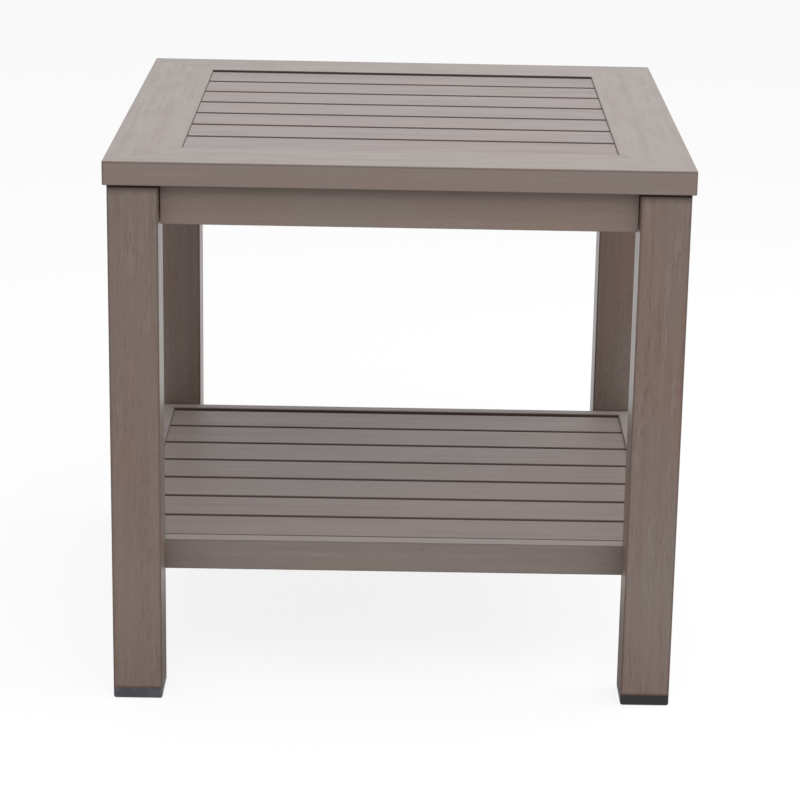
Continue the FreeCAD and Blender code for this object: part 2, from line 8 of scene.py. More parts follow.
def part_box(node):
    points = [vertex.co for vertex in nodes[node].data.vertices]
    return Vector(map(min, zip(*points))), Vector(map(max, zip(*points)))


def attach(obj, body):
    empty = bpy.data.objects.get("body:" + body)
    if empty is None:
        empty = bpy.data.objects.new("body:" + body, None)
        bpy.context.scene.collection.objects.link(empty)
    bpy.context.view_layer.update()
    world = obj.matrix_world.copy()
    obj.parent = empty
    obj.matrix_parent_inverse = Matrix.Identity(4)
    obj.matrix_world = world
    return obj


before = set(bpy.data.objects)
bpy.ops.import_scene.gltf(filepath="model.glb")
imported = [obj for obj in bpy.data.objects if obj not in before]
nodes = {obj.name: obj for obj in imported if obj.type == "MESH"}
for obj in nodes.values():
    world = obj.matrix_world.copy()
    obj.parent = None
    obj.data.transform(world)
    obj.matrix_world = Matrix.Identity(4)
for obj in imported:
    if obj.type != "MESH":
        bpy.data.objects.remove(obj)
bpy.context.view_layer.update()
scene = bpy.context.scene
scene.view_settings.view_transform = "Standard"
print("frame loaded:", len(nodes), "pieces")


# Shader tree helpers: a socket given as an input is linked, anything else is set on it
def addNode(tree, kind, place, inputs=None, **settings):
    node = tree.nodes.new(kind)
    node.location = place
    for name, value in settings.items():
        setattr(node, name, value)
    for key, value in (inputs or {}).items():
        if isinstance(value, bpy.types.NodeSocket):
            tree.links.new(value, node.inputs[key])
        else:
            node.inputs[key].default_value = value
    return node


def calc(tree, place, operation, first, second=0.0, third=0.0):
    inputs = {0: first, 1: second, 2: third}
    return addNode(tree, "ShaderNodeMath", place, inputs, operation=operation).outputs[0]


def calcVector(tree, place, operation, first, second=(0, 0, 0)):
    inputs = {0: first, 1: second}
    return addNode(tree, "ShaderNodeVectorMath", place, inputs, operation=operation).outputs[0]


def along(tree, place, vector, axis):  # the part of a vector that lies along an axis
    inputs = {0: vector, 1: axis}
    return addNode(tree, "ShaderNodeVectorMath", place, inputs, operation="DOT_PRODUCT").outputs["Value"]


def blendTone(tree, place, share, first, second):
    inputs = {0: share, 6: first, 7: second}  # 6, 7 and output 2 are a Mix node's colours
    return addNode(tree, "ShaderNodeMix", place, inputs, data_type="RGBA").outputs[2]


def ease(tree, place, value, low, high, start=0.0, end=1.0):  # smooth step from start to end
    inputs = {"Value": value, "From Min": low, "From Max": high, "To Min": start, "To Max": end}
    return addNode(tree, "ShaderNodeMapRange", place, inputs, interpolation_type="SMOOTHSTEP").outputs[0]


def noise(tree, place, vector, scale, detail, roughness=0.5, distortion=0.0):
    inputs = {"Vector": vector, "Scale": scale, "Detail": detail, "Roughness": roughness,
              "Distortion": distortion}
    return addNode(tree, "ShaderNodeTexNoise", place, inputs).outputs[0]


def newGroup(name, inputs, outputs):
    group = bpy.data.node_groups.new(name, "ShaderNodeTree")
    for label, kind, value in inputs:
        socket = group.interface.new_socket(name=label, in_out="INPUT", socket_type="NodeSocket" + kind)
        socket.default_value = value
    for label, kind in outputs:
        group.interface.new_socket(name=label, in_out="OUTPUT", socket_type="NodeSocket" + kind)
    source = addNode(group, "NodeGroupInput", (-1500, 0))
    result = addNode(group, "NodeGroupOutput", (1300, 0))
    return group, source.outputs, result


def newMaterial(name):
    material = bpy.data.materials.new(name)
    material.use_nodes = True
    material.node_tree.nodes.clear()
    return material, material.node_tree


def tone(red, green, blue):  # screen colour, 0 to 255, in the shader's own scale
    return tuple(((c / 255 + 0.055) / 1.055) ** 2.4 for c in (red, green, blue)) + (1.0,)


# How near a point is to the edges of its piece's own box: the middle one of its three depths
def makeEdgeLine():
    group, given, result = newGroup("edgeLine", [
        ("Place", "Vector", (0.5, 0.5, 0.5)),  # 0 to 1 over the piece's box
        ("Size", "Vector", (0.1, 0.1, 0.1)),  # the box, in metres
        ("Width", "Float", 0.002),
    ], [("Mask", "Float")])
    fromEnd = calcVector(group, (-1250, -150), "SUBTRACT", (1, 1, 1), given["Place"])
    nearest = calcVector(group, (-1050, 0), "MINIMUM", given["Place"], fromEnd)
    depth = calcVector(group, (-850, 0), "MULTIPLY", nearest, given["Size"])
    depths = addNode(group, "ShaderNodeSeparateXYZ", (-650, 0), {0: depth}).outputs
    less = calc(group, (-450, 100), "MINIMUM", depths["X"], depths["Y"])
    more = calc(group, (-450, -100), "MAXIMUM", depths["X"], depths["Y"])
    capped = calc(group, (-250, -100), "MINIMUM", more, depths["Z"])
    middle = calc(group, (-50, 0), "MAXIMUM", less, capped)
    mask = ease(group, (200, 0), middle, 0.0, given["Width"], 1.0, 0.0)
    group.links.new(mask, result.inputs["Mask"])
    return group


# Glaze brushed along the grain over a taupe coat: streaks, short dashes, small knots and slow clouds
glazePattern = {  # noise: scale per metre, detail, roughness, distortion; mask: where it starts and is full
    "fineNoise": (820, 3.0, 0.6),
    "fineMask": (0.40, 0.72),
    "coarseNoise": (150, 3.0, 0.6, 0.3),
    "paleMask": (0.44, 0.70),
    "darkMask": (0.52, 0.30),
    "dashNoise": (720, 1.5),
    "dashMask": (0.46, 0.66),
    "cloudNoise": (14, 2.0, 0.5),
    "warmMask": (0.36, 0.66),
    "mottleNoise": (45, 2.0, 0.6),
    "mottleMask": (0.35, 0.70),
    "knotCells": 30.0,  # per metre
    "knotReach": 0.13,  # share of a cell
    "bareCells": 0.55,  # share of the cells that have no knot
    "dashRounding": 0.1,  # added to the stretch, so that a mark is shorter
    "cloudRounding": 0.3,
    "knotRounding": 1.0,
    "fineShare": 0.55,  # of the streaks
    "darkShare": 0.45,
    "patchDashes": 0.7,  # share of the dashes that come in patches
    "evenDashes": 0.3,
    "dashUnderLight": 0.5,  # share of the dashes lost under the painted light
    "streakRoughness": 0.08,
    "mottleRoughness": 0.05,
    "gapRoughness": 0.4,
    "dashDepth": 0.5,  # beside the fine streaks in the bump
    "knotDepth": 0.4,
}


def makeBrushedGlaze(pattern):
    group, given, result = newGroup("brushedGlaze", [
        ("Position", "Vector", (0, 0, 0)),  # metres
        ("Stretch", "Vector", (1, 1, 1)),  # small along the grain
        ("Coat", "Color", (0.2, 0.15, 0.12, 1)),
        ("Pale", "Color", (0.3, 0.25, 0.2, 1)),
        ("Warm", "Color", (0.2, 0.15, 0.12, 1)),
        ("Glaze", "Color", (0.1, 0.07, 0.05, 1)),
        ("Shade Tone", "Color", (0.03, 0.02, 0.02, 1)),  # painted shade: the dark tone of gap walls and of the parts under the top
        ("Satin", "Float", 0.3),  # roughness of the plain coat
        ("Clouds", "Float", 0.5),
        ("Streaks", "Float", 0.5),
        ("Dashes", "Float", 0.5),
        ("Knots", "Float", 0.3),
        ("Edge", "Float", 0.0),  # mask of the piece's edges
        ("Edge Glaze", "Float", 0.3),
        ("Painted Shade", "Float", 0.0),  # mask of painted shade: walls that face a gap, and the parts just under the top
        ("Painted Light", "Float", 0.0),  # mask of painted light: faces painted paler where more light falls
        ("Dull", "Float", 0.0),  # mask of what has lost its gloss
    ], [("Color", "Color"), ("Roughness", "Float"), ("Height", "Float")])
    grainPlace = calcVector(group, (-1250, 400), "MULTIPLY", given["Position"], given["Stretch"])
    shorter = calcVector(group, (-1250, 100), "ADD", given["Stretch"], [pattern["dashRounding"]] * 3)
    dashPlace = calcVector(group, (-1050, 100), "MULTIPLY", given["Position"], shorter)
    rounder = calcVector(group, (-1250, -200), "ADD", given["Stretch"], [pattern["cloudRounding"]] * 3)
    cloudPlace = calcVector(group, (-1050, -200), "MULTIPLY", given["Position"], rounder)
    roundest = calcVector(group, (-1250, -650), "ADD", given["Stretch"], [pattern["knotRounding"]] * 3)
    knotPlace = calcVector(group, (-1050, -650), "MULTIPLY", given["Position"], roundest)

    fine = noise(group, (-800, 600), grainPlace, *pattern["fineNoise"])
    coarse = noise(group, (-800, 350), grainPlace, *pattern["coarseNoise"])
    dash = noise(group, (-800, 100), dashPlace, *pattern["dashNoise"])
    cloud = noise(group, (-800, -150), cloudPlace, *pattern["cloudNoise"])
    mottle = noise(group, (-800, -400), cloudPlace, *pattern["mottleNoise"])
    cells = {"Vector": knotPlace, "Scale": pattern["knotCells"]}
    knot = addNode(group, "ShaderNodeTexVoronoi", (-800, -650), cells).outputs

    fineMask = ease(group, (-560, 600), fine, *pattern["fineMask"])
    paleMask = ease(group, (-560, 400), coarse, *pattern["paleMask"])
    darkMask = ease(group, (-560, 250), coarse, *pattern["darkMask"])
    dashMask = ease(group, (-560, 50), dash, *pattern["dashMask"])
    warmMask = ease(group, (-560, -150), cloud, *pattern["warmMask"])
    mottleMask = ease(group, (-560, -400), mottle, *pattern["mottleMask"])
    knotSpot = ease(group, (-560, -600), knot["Distance"], 0.0, pattern["knotReach"], 1.0, 0.0)
    knotDraw = addNode(group, "ShaderNodeSeparateColor", (-560, -800), {0: knot["Color"]}).outputs[0]
    knotPick = calc(group, (-330, -800), "GREATER_THAN", knotDraw, pattern["bareCells"])
    knotMask = calc(group, (-330, -600), "MULTIPLY", knotSpot, knotPick)

    warmShare = calc(group, (-330, -150), "MULTIPLY", warmMask, given["Clouds"])
    cloudy = calc(group, (-330, 250), "MULTIPLY", mottleMask, given["Clouds"])
    paleShare = calc(group, (-130, 400), "MULTIPLY", paleMask, cloudy)
    fineShare = calc(group, (-330, 700), "MULTIPLY", fineMask, pattern["fineShare"])
    streakSum = calc(group, (-130, 600), "MULTIPLY_ADD", darkMask, pattern["darkShare"], fineShare)
    streakShare = calc(group, (70, 600), "MULTIPLY", streakSum, given["Streaks"])
    patches = calc(group, (-330, 100), "MULTIPLY_ADD", mottleMask, pattern["patchDashes"],
                   pattern["evenDashes"])
    dashed = calc(group, (-330, 0), "MULTIPLY", dashMask, patches)
    dashKept = calc(group, (-330, -50), "MULTIPLY_ADD", given["Painted Light"], -pattern["dashUnderLight"], 1.0)
    dashLeft = calc(group, (-130, -50), "MULTIPLY", dashed, dashKept)
    dashShare = calc(group, (-130, 50), "MULTIPLY", dashLeft, given["Dashes"])
    knotShare = calc(group, (-130, -600), "MULTIPLY", knotMask, given["Knots"])
    edgeShare = calc(group, (-130, -150), "MULTIPLY", given["Edge"], given["Edge Glaze"])

    color = blendTone(group, (100, 250), warmShare, given["Coat"], given["Warm"])
    color = blendTone(group, (280, 250), paleShare, color, given["Pale"])
    # Painted light: upper faces and leg bottoms blend to the pale tone
    color = blendTone(group, (370, 450), given["Painted Light"], color, given["Pale"])
    color = blendTone(group, (460, 250), streakShare, color, given["Glaze"])
    color = blendTone(group, (640, 250), dashShare, color, given["Glaze"])
    color = blendTone(group, (820, 250), knotShare, color, given["Glaze"])
    color = blendTone(group, (1000, 250), edgeShare, color, given["Glaze"])
    # Painted shade: gap walls and the parts under the top blend to the shade tone
    color = blendTone(group, (1160, 250), given["Painted Shade"], color, given["Shade Tone"])
    group.links.new(color, result.inputs["Color"])

    rough = calc(group, (460, -50), "MULTIPLY_ADD", streakSum, pattern["streakRoughness"], given["Satin"])
    rough = calc(group, (640, -50), "MULTIPLY_ADD", mottleMask, pattern["mottleRoughness"], rough)
    rough = calc(group, (820, -50), "MULTIPLY_ADD", given["Painted Shade"], pattern["gapRoughness"], rough)
    rough = calc(group, (1000, -50), "ADD", rough, given["Dull"])
    group.links.new(rough, result.inputs["Roughness"])

    height = calc(group, (460, -420), "MULTIPLY_ADD", dashMask, -pattern["dashDepth"], fine)
    height = calc(group, (640, -420), "MULTIPLY_ADD", knotMask, -pattern["knotDepth"], height)
    group.links.new(height, result.inputs["Height"])
    return group


# Fine spark texture of a moulded part, with scuffed patches
mouldPattern = {
    "grainNoise": (2.0, 0.6),  # detail and roughness, at a scale that each material gives
    "scuffNoise": (90, 3.0, 0.65),
    "scuffMask": (0.42, 0.70),
    "scuffRoughness": 0.18,
    "plainRoughness": 0.48,
}


def makeMouldTexture(pattern):
    group, given, result = newGroup("mouldTexture", [
        ("Position", "Vector", (0, 0, 0)),
        ("Grain", "Float", 900.0),
    ], [("Mask", "Float"), ("Roughness", "Float"), ("Height", "Float")])
    grain = noise(group, (-800, 200), given["Position"], given["Grain"], *pattern["grainNoise"])
    scuff = noise(group, (-800, -100), given["Position"], *pattern["scuffNoise"])
    scuffMask = ease(group, (-500, -100), scuff, *pattern["scuffMask"])
    rough = calc(group, (-200, -100), "MULTIPLY_ADD", scuffMask, pattern["scuffRoughness"],
                 pattern["plainRoughness"])
    group.links.new(scuffMask, result.inputs["Mask"])
    group.links.new(rough, result.inputs["Roughness"])
    group.links.new(grain, result.inputs["Height"])
    return group


edgeLine = makeEdgeLine()
brushedGlaze = makeBrushedGlaze(glazePattern)
mouldTexture = makeMouldTexture(mouldPattern)
print("shared effects:", [g.name for g in bpy.data.node_groups])

# Taupe coat with a brown glaze on every aluminium piece, unless its look says otherwise.
# A look's shade, paintedLight and dull: an end, a depth from it, a strength. Its lip: a rise, a fall, a
# strength
coatFinish = {
    "coat": tone(117, 102, 92),
    "pale": tone(134, 121, 113),
    "warm": tone(119, 99, 87),
    "glaze": tone(80, 62, 53),
    "deep": tone(44, 33, 30),
    "satin": 0.30,
    "sheen": 0.0,
    "sheenRoughness": 0.4,
    "grainStretch": 0.022,  # a streak is about 45 times as long as wide
    "bumpDepth": 0.00012,
    "bumpStrength": 0.22,
}
unit = {"x": (1, 0, 0), "y": (0, 1, 0), "z": (0, 0, 1)}


# Painted shade on the walls that face a slat gap: strength on the wall, fading to 0 at gapWidth behind them
def gapMask(tree, coords, look, size):
    axis = unit[look["gapAxis"]]
    if "fieldReach" in look:  # a rail: the upper part of its wall towards the slats
        away = calcVector(tree, (-1100, -500), "ABSOLUTE", coords["Object"])
        outward = along(tree, (-900, -500), away, axis)
        depth = calc(tree, (-750, -500), "SUBTRACT", outward, look["fieldReach"])
        strength = endMask(tree, -1450, coords, size, "top", look["gapReach"], look["gap"])
    else:  # a slat: both of its long sides
        fromMiddle = calcVector(tree, (-1300, -500), "SUBTRACT", coords["Generated"], (0.5, 0.5, 0.5))
        away = calcVector(tree, (-1100, -500), "ABSOLUTE", fromMiddle)
        outward = along(tree, (-900, -650), away, axis)
        inside = calc(tree, (-900, -500), "SUBTRACT", 0.5, outward)
        depth = calc(tree, (-750, -500), "MULTIPLY", inside, size.dot(Vector(axis)))
        strength = look["gap"]
    return ease(tree, (-600, -500), depth, look["gapStart"], look["gapWidth"], strength, 0.0)


# Strength on a piece's upper or lower end, fading to 0 at a depth from it
def endMask(tree, row, coords, size, end, depth, strength):
    height = along(tree, (-1100, row), coords["Generated"], unit["z"])
    share = height if end == "bottom" else calc(tree, (-950, row), "SUBTRACT", 1.0, height)
    away = calc(tree, (-800, row), "MULTIPLY", share, size.z)
    return ease(tree, (-600, row), away, 0.0, depth, strength, 0.0)


# A thin line of glaze just under a piece's upper edge, strongest at rise and gone at fall
def lipMask(tree, coords, size, rise, fall, strength):
    height = along(tree, (-1300, -1200), coords["Generated"], unit["z"])
    share = calc(tree, (-1150, -1200), "SUBTRACT", 1.0, height)
    away = calc(tree, (-1000, -1200), "MULTIPLY", share, size.z)
    grow = ease(tree, (-800, -1100), away, 0.0, rise, 0.0, strength)
    fade = ease(tree, (-800, -1350), away, rise, fall, 1.0, 0.0)
    return calc(tree, (-600, -1200), "MULTIPLY", grow, fade)


def coatMaterial(name, look, samplePiece):
    material, tree = newMaterial(name)
    low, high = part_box(samplePiece)
    size = high - low
    finish = {**coatFinish, **look}
    stretch = [finish["grainStretch"] if axis == look["grain"] else 1.0 for axis in "xyz"]
    coords = addNode(tree, "ShaderNodeTexCoord", (-1500, 0)).outputs
    edge = addNode(tree, "ShaderNodeGroup", (-850, -200), {
        "Place": coords["Generated"], "Size": size, "Width": look["edgeWidth"]}, node_tree=edgeLine)
    edgeMask = edge.outputs["Mask"]
    if "lip" in look:
        lip = lipMask(tree, coords, size, *look["lip"])
        edgeMask = calc(tree, (-450, -200), "MAXIMUM", edgeMask, lip)
    glaze = addNode(tree, "ShaderNodeGroup", (-350, 0), {
        "Position": coords["Object"], "Stretch": stretch, "Coat": finish["coat"],
        "Pale": finish["pale"], "Warm": finish["warm"], "Glaze": finish["glaze"],
        "Shade Tone": finish["deep"], "Satin": finish["satin"], "Clouds": look["clouds"],
        "Streaks": look["streaks"], "Dashes": look["dashes"], "Knots": look["knots"],
        "Edge": edgeMask, "Edge Glaze": look["edge"]}, node_tree=brushedGlaze)
    # painted shade on the walls that face a slat gap
    if "gap" in look:
        tree.links.new(gapMask(tree, coords, look, size), glaze.inputs["Painted Shade"])
    if "shade" in look:  # painted shadow under the top's overhang
        tree.links.new(endMask(tree, -800, coords, size, *look["shade"]), glaze.inputs["Painted Shade"])
    # painted light: the upper face, or the bottom of a leg, painted paler
    if "paintedLight" in look:
        tree.links.new(endMask(tree, -1000, coords, size, *look["paintedLight"]), glaze.inputs["Painted Light"])
    if "dull" in look:
        tree.links.new(endMask(tree, -1650, coords, size, *look["dull"]), glaze.inputs["Dull"])
    bump = addNode(tree, "ShaderNodeBump", (-50, -250), {
        "Height": glaze.outputs["Height"], "Strength": finish["bumpStrength"],
        "Distance": finish["bumpDepth"]})
    shader = addNode(tree, "ShaderNodeBsdfPrincipled", (200, 0), {
        "Base Color": glaze.outputs["Color"], "Roughness": glaze.outputs["Roughness"],
        "Normal": bump.outputs[0], "Sheen Weight": finish["sheen"],
        "Sheen Roughness": finish["sheenRoughness"]})
    addNode(tree, "ShaderNodeOutputMaterial", (500, 0), {"Surface": shader.outputs[0]})
    return material


def dress(material, names):
    for name in names:
        mesh = nodes[name].data
        mesh.materials.clear()
        mesh.materials.append(material)


def named(*starts):
    return [n for n in sorted(nodes) if n.startswith(starts)]


# Four rails in a square: the grain runs along each, and gaps paints shade on the walls towards the slats
def dressRails(prefix, look):
    for side in ("front", "right", "back", "left"):
        rail = prefix + "_" + side
        lengthwise = side in ("front", "back")
        whole = {**look, "grain": "x" if lengthwise else "y"}
        if "gaps" in look:
            reach = [min(abs(a), abs(b)) for a, b in zip(*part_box(rail))]
            whole.update({"gap": look["gaps"][side], "gapAxis": "y" if lengthwise else "x",
                          "fieldReach": reach[1] if lengthwise else reach[0]})
        dress(coatMaterial(rail + "_coat", whole, rail), [rail])


def dressSlats(prefix, look):
    slats = [n for n in named(prefix) if n[-1].isdigit()]
    dress(coatMaterial(prefix + "_coat", look, slats[0]), slats)


# Legs: the grain stands up, and the brown is redder; a painted shadow just under the top, painted light
# towards the bottom
legLook = {
    "grain": "z", "clouds": 0.9, "streaks": 0.26, "dashes": 0.46, "knots": 0.5,
    "edge": 0.9, "edgeWidth": 0.0032,
    "coat": tone(107, 93, 85), "warm": tone(111, 88, 77), "pale": tone(116, 103, 97),
    "shade": ("top", 0.008, 0.55), "paintedLight": ("bottom", 0.34, 0.6), "dull": ("bottom", 0.16, 0.6),
}
dress(coatMaterial("legCoat", legLook, "leg_front_left"), named("leg_front", "leg_back"))

# Rails and slats of the top: painted light on the rails' upper faces, painted shade on the walls towards the
# slats
topRailLook = {
    "clouds": 0.8, "streaks": 0.05, "dashes": 0.06, "knots": 0.12,
    "edge": 0.75, "edgeWidth": 0.0015, "lip": (0.0010, 0.0026, 0.9),
    "coat": tone(112, 102, 96), "warm": tone(117, 98, 90), "pale": tone(125, 114, 109),
    "paintedLight": ("top", 0.0008, 0.56),
    # gaps: painted shade on each rail's wall towards the slats, strongest at the back
    "gaps": {"front": 0.3, "right": 0.1, "back": 1.0, "left": 0.0},
    "gapStart": 0.0004, "gapWidth": 0.0016, "gapReach": 0.014,
}
topSlatLook = {
    "grain": "x", "clouds": 0.7, "streaks": 0.12, "dashes": 0.10, "knots": 0.12,
    "edge": 0.10, "edgeWidth": 0.0012,
    "coat": tone(113, 101, 98), "warm": tone(116, 98, 93), "pale": tone(130, 119, 115),
    # gap: painted shade on the slats' long sides
    "gap": 0.88, "gapAxis": "y", "gapStart": 0.0010, "gapWidth": 0.0022,
}
dressRails("top_rail", topRailLook)
dressSlats("top_slat", topSlatLook)

# Aprons, with a painted shadow under the top's overhang
apronLook = {
    "clouds": 0.6, "streaks": 0.08, "dashes": 0.12, "knots": 0.3,
    "edge": 0.35, "edgeWidth": 0.0012,
    "coat": tone(115, 103, 96), "warm": tone(120, 99, 88), "pale": tone(125, 112, 104),
    "shade": ("top", 0.017, 0.55),
}
dressRails("apron", apronLook)

# Rails and slats of the shelf, less glossy than the top; painted light on the rails' upper faces, painted
# shade in the gaps
shelfRailLook = {
    "clouds": 0.35, "streaks": 0.10, "dashes": 0.12, "knots": 0.35,
    "edge": 0.9, "edgeWidth": 0.0016,
    "coat": tone(111, 100, 94), "warm": tone(118, 97, 86), "pale": tone(133, 123, 120),
    "paintedLight": ("top", 0.0008, 0.9), "satin": 0.48, "sheen": 0.25,
    # gaps: painted shade on the back rail's wall, and in a 7 mm band on its top towards the slats
    "gaps": {"front": 0.0, "right": 0.0, "back": 0.95, "left": 0.0}, "deep": tone(66, 47, 39),
    "gapStart": 0.0, "gapWidth": 0.0070, "gapReach": 0.014,
}
shelfSlatLook = {
    # painted shade on the slats' long sides, in a browner shade tone
    **topSlatLook, "streaks": 0.15, "knots": 0.15, "gap": 0.72, "deep": tone(60, 43, 41),
    "coat": tone(117, 103, 98), "warm": tone(118, 101, 95), "satin": 0.48, "sheen": 0.25,
}
dressRails("shelf_rail", shelfRailLook)
dressSlats("shelf_slat", shelfSlatLook)

# What carries the slats and joins the aprons, on the underside
carrierLook = {
    "grain": "y", "clouds": 0.5, "streaks": 0.20, "dashes": 0.10, "knots": 0.1,
    "edge": 0.25, "edgeWidth": 0.0010,
}
bracketLook = {**carrierLook, "grain": "z"}
carriers = named("top_slat_bar", "top_slat_ledge", "shelf_slat_bar", "shelf_slat_ledge")
brackets = [n for n in named("bracket_") if n != "bracket_rivets"]
dress(coatMaterial("carrierCoat", carrierLook, "top_slat_bar"), carriers)
dress(coatMaterial("bracketCoat", bracketLook, "bracket_front_apron_left"), brackets)
print("coated pieces dressed")

# Moulded plastic, rubbed paler along its edges
mouldedLook = {
    "edgeWidth": 0.0016,
    "grain": 1100.0,
    "bumpDepth": 0.0001,
    "bumpStrength": 0.4,
    "specular": 0.5,
}
footLooks = {  # the caps on the left are painted lighter and those on the right darker: painted light and shade on one plastic
    "left": {
        **mouldedLook,
        "body": tone(52, 52, 57), "scuffed": tone(69, 70, 76), "rubbed": tone(92, 94, 100),
    },
    "right": {
        **mouldedLook, "specular": 0.35,
        "body": tone(29, 28, 30), "scuffed": tone(37, 36, 38), "rubbed": tone(58, 58, 61),
    },
}
# Plugs and spacers in near-black brown: partly their own colour, partly painted shade for the dark line
# under the top
plugLook = {
    **mouldedLook, "specular": 0.12,
    "body": tone(30, 21, 18), "scuffed": tone(36, 26, 22), "rubbed": tone(44, 33, 29),
}


def plasticMaterial(name, look, samplePiece):
    material, tree = newMaterial(name)
    low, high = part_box(samplePiece)
    coords = addNode(tree, "ShaderNodeTexCoord", (-1100, 0)).outputs
    edge = addNode(tree, "ShaderNodeGroup", (-800, -200), {
        "Place": coords["Generated"], "Size": high - low, "Width": look["edgeWidth"]}, node_tree=edgeLine)
    mould = addNode(tree, "ShaderNodeGroup", (-800, 100), {
        "Position": coords["Object"], "Grain": look["grain"]}, node_tree=mouldTexture)
    color = blendTone(tree, (-550, 100), mould.outputs["Mask"], look["body"], look["scuffed"])
    rubbedShare = calc(tree, (-550, -150), "MULTIPLY", edge.outputs["Mask"], mould.outputs["Mask"])
    color = blendTone(tree, (-350, 100), rubbedShare, color, look["rubbed"])
    bump = addNode(tree, "ShaderNodeBump", (-250, -250), {
        "Height": mould.outputs["Height"], "Strength": look["bumpStrength"], "Distance": look["bumpDepth"]})
    shader = addNode(tree, "ShaderNodeBsdfPrincipled", (0, 0), {
        "Base Color": color, "Roughness": mould.outputs["Roughness"], "Normal": bump.outputs[0],
        "Specular IOR Level": look["specular"]})
    addNode(tree, "ShaderNodeOutputMaterial", (300, 0), {"Surface": shader.outputs[0]})
    return material


for side, footLook in footLooks.items():
    caps = [n for n in named("foot_cap") if n.endswith(side)]
    dress(plasticMaterial("footPlastic_" + side, footLook, caps[0]), caps)
plugs = named("leg_top_plug", "shelf_spacers")
dress(plasticMaterial("plugPlastic", plugLook, "leg_top_plug_front_left"), plugs)
print("plastic pieces dressed")

# Bolts, washers, rivets and screws
steelLook = {"bright": tone(196, 194, 190), "dull": tone(150, 148, 146), "grain": 1400.0, "polish": 0.22}
fasteners = ["apron_bolts", "shelf_bolts", "bolt_washers", "leg_rivet_nuts", "bracket_rivets",
             "top_slat_screws", "shelf_slat_screws"]


def steelMaterial(look):
    material, tree = newMaterial("stainlessSteel")
    coords = addNode(tree, "ShaderNodeTexCoord", (-1000, 0)).outputs
    mould = addNode(tree, "ShaderNodeGroup", (-750, 0), {
        "Position": coords["Object"], "Grain": look["grain"]}, node_tree=mouldTexture)
    color = blendTone(tree, (-450, 100), mould.outputs["Mask"], look["bright"], look["dull"])
    rough = calc(tree, (-450, -100), "SUBTRACT", mould.outputs["Roughness"], look["polish"])
    shader = addNode(tree, "ShaderNodeBsdfPrincipled", (0, 0), {
        "Base Color": color, "Roughness": rough, "Metallic": 1.0})
    addNode(tree, "ShaderNodeOutputMaterial", (300, 0), {"Surface": shader.outputs[0]})
    return material


dress(steelMaterial(steelLook), fasteners)
print("fasteners dressed")

# Weld beads on the underside, where the frames were not ground flush
weldLook = {
    "width": 0.0022,  # half of the bead
    "height": 0.0013,
    "ripple": 0.0024,  # length of one ripple
    "rippleDepth": 0.14,  # share of the height
    "lag": 0.0010,  # each ripple bows along the bead
    "stepsPerRipple": 6,
    "leastSteps": 8,
    "profilePoints": 9,
    "sunk": 0.0004,  # how far the bead reaches into the tube
    "rootShare": 0.9,  # of the width, down there
    "endShare": 0.25,  # of the size, at the ends of the bead
    "endRounding": 8,  # more keeps the full size for longer
    "inset": 0.001,  # from an inner corner or a neighbour
    "outerInset": 0.003,
}
weldCoatLook = {
    "grain": "z", "clouds": 0.4, "streaks": 0.15, "dashes": 0.1, "knots": 0.0,
    "edge": 0.0, "edgeWidth": 0.001,
}


def weldBead(bm, start, end, face, look):
    run = Vector(end) - Vector(start)
    heading = run.normalized()
    face = Vector(face).normalized()
    side = face.cross(heading)
    count = max(look["leastSteps"], round(run.length / look["ripple"]) * look["stepsPerRipple"])
    rings = []
    for step in range(count + 1):
        part = step / count
        phase = part * count / look["stepsPerRipple"]
        ripple = 1 - look["rippleDepth"] + look["rippleDepth"] * abs(math.sin(math.pi * phase))
        taper = max(look["endShare"], (1 - abs(2 * part - 1) ** look["endRounding"]) ** 0.5)
        centre = Vector(start) + run * part
        root = side * look["width"] * taper * look["rootShare"]
        ring = [bm.verts.new(centre - face * look["sunk"] - root)]
        for point in range(look["profilePoints"]):
            turn = math.pi * (1 - point / (look["profilePoints"] - 1))
            across = math.cos(turn) * look["width"] * taper
            rise = math.sin(turn) * look["height"] * taper * ripple
            back = look["lag"] * (1 - math.sin(turn)) * (0 if step in (0, count) else 1)
            ring.append(bm.verts.new(centre + side * across + face * rise - heading * back))
        ring.append(bm.verts.new(centre - face * look["sunk"] + root))
        rings.append(ring)
    size = len(rings[0])
    for one, two in zip(rings, rings[1:]):
        for k in range(size):
            bm.faces.new((one[k], one[(k + 1) % size], two[(k + 1) % size], two[k]))
    bm.faces.new(rings[0])
    bm.faces.new(list(reversed(rings[-1])))


def weldPiece(name, beads, material):
    bm = bmesh.new()
    for start, end, face in beads:
        weldBead(bm, start, end, face, weldLook)
    bmesh.ops.recalc_face_normals(bm, faces=bm.faces)
    mesh = bpy.data.meshes.new(name)
    bm.to_mesh(mesh)
    bm.free()
    mesh.shade_smooth()
    mesh.materials.append(material)
    piece = bpy.data.objects.new(name, mesh)
    scene.collection.objects.link(piece)
    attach(piece, "root")
    print(name + ":", len(beads), "beads")


def cornerBeads(inner, outer, height):  # one bead under each of a frame's four mitres
    beads = []
    for sx in (-1, 1):
        for sy in (-1, 1):
            start = (sx * inner[0], sy * inner[1], height)
            end = (sx * outer[0], sy * outer[1], height)
            beads.append((start, end, (0, 0, -1)))
    return beads


def span(middle, length):
    return middle - length / 2, middle + length / 2


weldCoat = coatMaterial("weldCoat", weldCoatLook, "top_rail_front")
inset = weldLook["inset"]

# Under the mitres of the top, between its inner corner and the leg
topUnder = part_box("top_rail_front")[0].z
topInner = -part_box("top_rail_front")[1].y
legInner = -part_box("leg_front_left")[1].x
innerCorner = (topInner + inset, topInner + inset)
outerCorner = (legInner - inset, legInner - inset)
weldPiece("top_mitre_welds", cornerBeads(innerCorner, outerCorner, topUnder), weldCoat)

